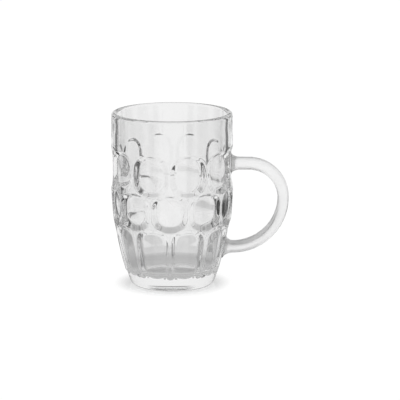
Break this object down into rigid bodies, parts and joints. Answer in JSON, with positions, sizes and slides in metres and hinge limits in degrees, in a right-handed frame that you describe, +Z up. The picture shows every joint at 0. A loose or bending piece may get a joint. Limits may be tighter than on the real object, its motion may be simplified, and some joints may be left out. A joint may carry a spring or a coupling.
{
  "type": "dimpled beer mug",
  "caption": "Clear pressed glass beer mug: two rows of grooved ovals over tall flutes, smooth tapering inside, thick solid foot and a fused D-shaped rod handle.",
  "frame": {"origin": "centre of the foot ring, on the plane that the mug stands on", "axes": "+Z up along the barrel's axis, +X from the barrel's axis out through the handle, +Y across the plane of the handle"},
  "size_m": [0.1322, 0.0908, 0.13],
  "materials": {
    "barrel_glass": "clear fire-polished pressed glass",
    "handle_glass": "clear drawn glass rod"
  },
  "bodies": {
    "root": {"barrel": "barrel_glass", "handle": "handle_glass"}
  },
  "joints": []
}
